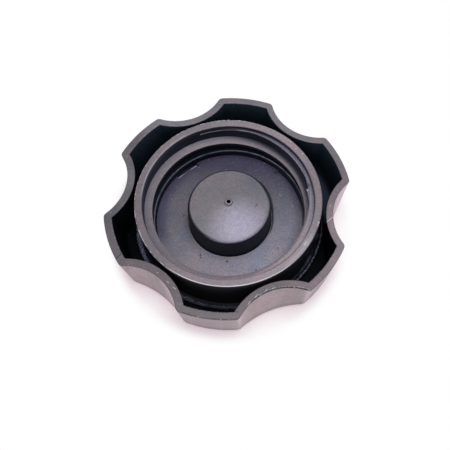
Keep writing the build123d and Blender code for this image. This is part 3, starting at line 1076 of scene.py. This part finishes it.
@dataclass(frozen=True)
class WeldPlastic(MouldedPlastic):
    """Plastic that was squeezed out of a weld or a mould joint, paler than the rest, with painted light and
    shade by side where weld is 1.
    """

    pale: Colour = (0.25, 0.27, 0.40)
    low: float = 0.36
    high: float = 0.62
    weld: float = 1.0
    dullness: float = 0.7
    # Painted light and shade by side: lit on the left, at the front and along a line.
    left_side: Side = (176.0, 36.0)
    front_reach: tuple[Span, Span] = ((-162.0, -156.0), (-108.0, -146.0))
    front_arc: Band = (-115.0, 15.0, 15.0)
    line_ring: Band = (32.05, 0.16, 0.18)
    line_arc: Band = (-50.0, 18.0, 8.0)

    def material(self, name: str) -> bpy.types.Material:
        """Makes the material.

        Args:
            name: The material's name.

        Returns:
            The material.
        """
        place = Place(bpy.data.materials.new(name))
        lumps = place.noise(place.point, 1.1, 3.0, 0.6)
        fine = place.noise(place.point, 1.9, 3.0, 0.75)
        amount = place.step(lumps * 0.30 + fine * 0.70, self.low, self.high)
        # Painted light and shade: where weld is 1, the flash is lit on the left, at the front and along a
        # line, and shaded elsewhere.
        front = place.between(place.angle, *self.front_reach) * 0.6
        front = place.larger(front, place.band(place.angle, *self.front_arc) * 0.22)
        line = place.band(place.radius + (lumps - 0.5) * 0.6, *self.line_ring)
        line = line * place.band(place.angle, *self.line_arc) * place.step(fine, 0.40, 0.60)
        share = place.larger(place.towards(*self.left_side), front)
        share = place.larger(share, place.larger(line * 0.9, 0.045))
        colour = place.blend(amount, self.deep, place.shade(self.pale, 1.0 + (share - 1.0) * self.weld))
        self.finish(place, colour, 1.6, self.dullness)
        return place.owner


@dataclass(frozen=True)
class FilterFoam:
    """Open-celled dark foam."""

    colour: Colour = (0.03, 0.03, 0.032)

    def material(self) -> bpy.types.Material:
        """Makes the material of the filter pad.

        Returns:
            The material.
        """
        place = Place(bpy.data.materials.new("filter_foam_dark"))
        cells = place.node("ShaderNodeTexVoronoi", {"feature": "F1"}, {"Vector": place.point, "Scale": 1.6})
        depth = Signal(place, cells.outputs["Distance"])
        bump = place.node("ShaderNodeBump", None, {"Strength": 0.8, "Distance": MM, "Height": depth})
        # Painted shade: darker in the pores.
        colour = place.shade(self.colour, 0.5 + depth)
        shared = {"Base Color": colour, "Roughness": 0.95, "Normal": bump.outputs[0]}
        place.show(place.node("ShaderNodeBsdfPrincipled", None, shared))
        return place.owner


# Modelling helpers


def deselect() -> None:
    bpy.ops.object.select_all(action="DESELECT")


def pick(piece: bpy.types.Object) -> None:
    """Selects one piece alone and makes it active.

    Args:
        piece: The object.
    """
    deselect()
    piece.select_set(True)
    bpy.context.view_layer.objects.active = piece


def settle(piece: bpy.types.Object, name: str) -> bpy.types.Object:
    """Puts a piece's place in its mesh, names it and makes its faces smooth.

    Args:
        piece: The modelled object.
        name: Its name.

    Returns:
        The same object, at the origin.
    """
    pick(piece)
    bpy.ops.object.transform_apply(location=True, rotation=True, scale=True)
    piece.name = name
    piece.data.name = name
    bpy.ops.object.shade_smooth_by_angle(angle=SMOOTH_ANGLE)
    return piece


def add_ring(
    name: str, middle: tuple[float, ...], radius: float, thickness: float, steps: int, sides: int
) -> bpy.types.Object:
    """Adds a thin ring, from which flash and burrs are shaped.

    Args:
        name: The piece's name.
        middle: The ring's middle, in millimetres.
        radius: Its radius, in millimetres.
        thickness: The radius of its section, in millimetres.
        steps: The number of steps round it.
        sides: The number of sides of its section.

    Returns:
        The ring.
    """
    deselect()
    bpy.ops.mesh.primitive_torus_add(
        location=tuple(part * MM for part in middle),
        major_radius=radius * MM,
        minor_radius=thickness * MM,
        major_segments=steps,
        minor_segments=sides,
    )
    return settle(bpy.context.object, name)


def keep_past(piece: bpy.types.Object, cuts: tuple[Cut, ...]) -> None:
    """Cuts off what lies before upright planes, and closes the ends.

    Args:
        piece: The object to cut.
        cuts: What is kept: points whose x and y, times the first two numbers, add to more than the third.
    """
    pick(piece)
    bpy.ops.object.mode_set(mode="EDIT")
    for along_x, along_y, least in cuts:
        length = math.hypot(along_x, along_y)
        normal = (along_x / length, along_y / length, 0.0)
        start = tuple(part * least / length * MM for part in normal)
        bpy.ops.mesh.select_all(action="SELECT")
        bpy.ops.mesh.bisect(plane_co=start, plane_no=normal, use_fill=True, clear_inner=True)
    bpy.ops.object.mode_set(mode="OBJECT")


def roughen(piece: bpy.types.Object, name: str, grain: float, strength: float, middle: float = 0.5) -> None:
    """Moves a piece's faces in and out by cloudy noise, and applies it.

    Args:
        piece: The object to shape.
        name: The name of the noise.
        grain: The size of the lumps, in millimetres.
        strength: The full height of the lumps, in millimetres.
        middle: The share of the noise that stays where it is.
    """
    clouds = bpy.data.textures.new(name, "CLOUDS")
    clouds.noise_scale = grain * MM
    clouds.noise_depth = 2
    lumps = piece.modifiers.new(name, "DISPLACE")
    lumps.texture = clouds
    lumps.texture_coords = "LOCAL"
    lumps.strength = strength * MM
    lumps.mid_level = middle
    pick(piece)
    bpy.ops.object.modifier_apply(modifier=name)


def dress(piece: bpy.types.Object, material: bpy.types.Material) -> None:
    """Gives a piece one material.

    Args:
        piece: The object.
        material: Its material.
    """
    if piece.material_slots:
        for place in piece.material_slots:
            place.material = material
    else:
        piece.data.materials.append(material)


# Sub-assemblies


@dataclass
class GripCover:
    """The lobed grip, with the moulding flash along its rim's outer edge."""

    finish: GripPlastic = GripPlastic()
    flash_finish: WeldPlastic = WeldPlastic(
        pale=(0.42, 0.38, 0.42), low=0.34, high=0.56, weld=0.0, dullness=0.0
    )
    flash_height: float = 18.36
    flash_thickness: float = 0.09
    flash_sides: int = 6
    steps_per_mm: int = 36
    tear_size: float = 0.7
    tear_height: float = 0.50
    scallop_middle: Point = (0.0, -50.7)
    scallop_radius: float = 16.78
    scallop_cuts: tuple[Cut, ...] = ((1.0, 0.0, -7.0), (-1.0, 0.0, -12.2), (0.0, 1.0, -39.0))
    lobe_radius: float = 40.16
    lobe_cuts: tuple[Cut, ...] = ((-0.956, 0.292, 0.0), (0.755, -0.656, 0.0))

    def build(self) -> None:
        """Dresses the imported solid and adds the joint's flash."""
        dress(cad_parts["grip_cover"], self.finish.material())
        LOG.info("grip_cover dressed")
        scallop = self.flash_arc("scallop_flash", self.scallop_middle, self.scallop_radius, self.scallop_cuts)
        lobe = self.flash_arc("lobe_flash", (0.0, 0.0), self.lobe_radius, self.lobe_cuts)
        for arc in (scallop, lobe):
            dress(arc, self.flash_finish.material(arc.name + "_plastic"))
            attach(arc, BODY)

    def flash_arc(self, name: str, middle: Point, radius: float, cuts: tuple[Cut, ...]) -> bpy.types.Object:
        """Models one arc of thin, torn flash along the rim's outer edge.

        Args:
            name: The piece's name.
            middle: The arc's middle, in millimetres.
            radius: The arc's radius, in millimetres.
            cuts: What is kept of the full ring.

        Returns:
            The piece.
        """
        steps = round(radius * self.steps_per_mm)
        size = (radius, self.flash_thickness, steps, self.flash_sides)
        arc = add_ring(name, (*middle, self.flash_height), *size)
        keep_past(arc, cuts)
        roughen(arc, name + "_tears", self.tear_size, self.tear_height)
        LOG.info("%s modelled", name)
        return arc


@dataclass
class ThreadedCup:
    """The threaded cup, with the weld flash round its foot and the burrs on its rim."""

    finish: CupPlastic = CupPlastic()
    flash_finish: WeldPlastic = WeldPlastic()
    flash_radius: float = 31.98
    flash_height: float = 2.65
    flash_thickness: float = 0.78
    flash_steps: int = 720
    flash_sides: int = 14
    lump_size: float = 0.6
    lump_height: float = 1.0
    burr_finish: WeldPlastic = WeldPlastic(
        pale=(0.55, 0.53, 0.58), low=0.30, high=0.52, weld=0.0, dullness=0.0
    )
    burr_radius: float = 30.30
    burr_height: float = 18.86
    burr_thickness: float = 0.11
    burr_steps: int = 1400
    burr_sides: int = 6
    nib_size: float = 0.5
    nib_height: float = 0.52
    nib_middle: float = 0.58
    burr_cuts: tuple[Cut, ...] = ((-0.74, 0.67, 2.968),)

    def build(self) -> None:
        """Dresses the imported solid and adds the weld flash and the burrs."""
        dress(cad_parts["threaded_cup"], self.finish.material())
        LOG.info("threaded_cup dressed")
        self.weld_flash()
        self.rim_burrs()

    def weld_flash(self) -> None:
        """Models the lumpy ring of plastic squeezed out of the weld."""
        middle = (0.0, 0.0, self.flash_height)
        size = (self.flash_radius, self.flash_thickness, self.flash_steps, self.flash_sides)
        ring = add_ring("weld_flash", middle, *size)
        roughen(ring, "flash_lumps", self.lump_size, self.lump_height)
        dress(ring, self.flash_finish.material("weld_flash_plastic"))
        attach(ring, BODY)
        LOG.info("weld_flash modelled")

    def rim_burrs(self) -> None:
        """Models the ragged burr on the rim's outer edge, most of it sunk in the rim."""
        middle = (0.0, 0.0, self.burr_height)
        size = (self.burr_radius, self.burr_thickness, self.burr_steps, self.burr_sides)
        burrs = add_ring("rim_burrs", middle, *size)
        keep_past(burrs, self.burr_cuts)
        roughen(burrs, "burr_lumps", self.nib_size, self.nib_height, self.nib_middle)
        dress(burrs, self.burr_finish.material("rim_burr_plastic"))
        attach(burrs, BODY)
        LOG.info("rim_burrs modelled")


@dataclass
class SealingGasket:
    """The gasket round the boss."""

    finish: GasketRubber = GasketRubber()

    def build(self) -> None:
        """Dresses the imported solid."""
        dress(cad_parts["sealing_gasket"], self.finish.material())
        LOG.info("sealing_gasket dressed")


@dataclass
class VentFilter:
    """The filter pad inside the boss."""

    finish: FilterFoam = FilterFoam()

    def build(self) -> None:
        """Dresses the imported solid."""
        dress(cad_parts["vent_filter"], self.finish.material())
        LOG.info("vent_filter dressed")


# Surroundings


class Lamp(Enum):
    """The soft lamps: where each hangs, the length of its sides and its power, in metres and watts."""

    OVERHEAD = ((0.06, -0.02, 0.62), 0.36, 2.0)
    FRONT = ((-0.10, -0.62, 0.22), 0.40, 0.8)


@dataclass
class Studio:
    """Pale floor, soft light and the camera."""

    floor_reach: float = 1.5
    floor_drop: float = 0.00005
    floor_colour: Colour = (0.80, 0.79, 0.79)
    floor_seen: Colour = (0.62, 0.80, 0.72)
    floor_glow: Colour = (0.38, 0.20, 0.28)
    shadow_reach: Span = (39.5, 44.0)
    sky: float = 0.45
    eye: tuple[float, float, float] = (-0.023295, -0.079869, 0.176537)
    target: tuple[float, float, float] = (0.005395, -0.007185, 0.0185)
    roll: float = math.radians(-0.51)
    lens: float = 43.93
    sensor_width: float = 36.0
    shift: Point = (-0.05998, -0.03187)
    nearest: float = 0.005

    def build(self) -> None:
        """Makes the surroundings."""
        self.make_floor()
        self.make_sky()
        for kind in Lamp:
            self.hang(kind)
        self.make_camera()
        bpy.context.scene.view_settings.view_transform = "Standard"
        LOG.info("surroundings made")

    def make_floor(self) -> None:
        """Makes the floor, which the camera sees as white with a soft shadow."""
        deselect()
        bpy.ops.mesh.primitive_plane_add(size=self.floor_reach * 2, location=(0, 0, -self.floor_drop))
        floor = settle(bpy.context.object, "floor")
        paper = Place(bpy.data.materials.new("floor_paper"))
        path = paper.node("ShaderNodeLightPath")
        lit = paper.node("ShaderNodeBsdfDiffuse", None, {"Color": self.floor_seen})
        glow = paper.node("ShaderNodeEmission", None, {"Color": self.floor_glow, "Strength": 1.0})
        shaded = paper.node("ShaderNodeAddShader", None, {0: lit.outputs[0], 1: glow.outputs[0]})
        white = paper.node("ShaderNodeEmission", None, {"Color": WHITE, "Strength": 1.0})
        pale = paper.mix(paper.step(paper.radius, *self.shadow_reach), shaded, white)
        plain = paper.node("ShaderNodeBsdfDiffuse", None, {"Color": self.floor_colour})
        paper.show(paper.mix(path.outputs["Is Camera Ray"], plain, pale))
        dress(floor, paper.owner)

    def make_sky(self) -> None:
        """Lights the scene evenly, and shows white behind the floor's edge."""
        world = bpy.data.worlds.new("studio_sky")
        bpy.context.scene.world = world
        graph = Graph(world, "ShaderNodeOutputWorld")
        path = graph.node("ShaderNodeLightPath")
        even = graph.node("ShaderNodeBackground", None, {"Color": WHITE, "Strength": self.sky})
        white = graph.node("ShaderNodeBackground", None, {"Color": WHITE})
        graph.show(graph.mix(path.outputs["Is Camera Ray"], even, white))

    def hang(self, kind: Lamp) -> None:
        """Hangs a square soft lamp that faces the cap.

        Args:
            kind: Which lamp.
        """
        place, size, power = kind.value
        light = bpy.data.lights.new(kind.name.lower(), "AREA")
        light.shape = "SQUARE"
        light.size = size
        light.energy = power
        lamp = bpy.data.objects.new(kind.name.lower(), light)
        bpy.context.scene.collection.objects.link(lamp)
        lamp.location = place
        lamp.rotation_euler = Vector(place).to_track_quat("Z", "Y").to_euler()

    def make_camera(self) -> None:
        """Sets the camera where the photograph was taken from."""
        eye, target = Vector(self.eye), Vector(self.target)
        back = (eye - target).normalized()
        right = Vector((0, 0, 1)).cross(back).normalized()
        up = back.cross(right)
        turned_right = right * math.cos(self.roll) + up * math.sin(self.roll)
        turned_up = up * math.cos(self.roll) - right * math.sin(self.roll)
        data = bpy.data.cameras.new("camera")
        data.sensor_width = self.sensor_width
        data.lens = self.lens
        data.shift_x, data.shift_y = self.shift
        data.clip_start = self.nearest
        camera = bpy.data.objects.new("camera", data)
        bpy.context.scene.collection.objects.link(camera)
        basis = Matrix((turned_right, turned_up, back)).transposed()
        camera.matrix_world = Matrix.Translation(eye) @ basis.to_4x4()
        bpy.context.scene.camera = camera


def main() -> None:
    """Builds the pieces in order and sets the cap in its surroundings."""
    logging.basicConfig(level=logging.INFO, format="%(name)s: %(message)s")
    for part in (GripCover(), ThreadedCup(), SealingGasket(), VentFilter(), Studio()):
        part.build()


if __name__ == "__main__":
    main()
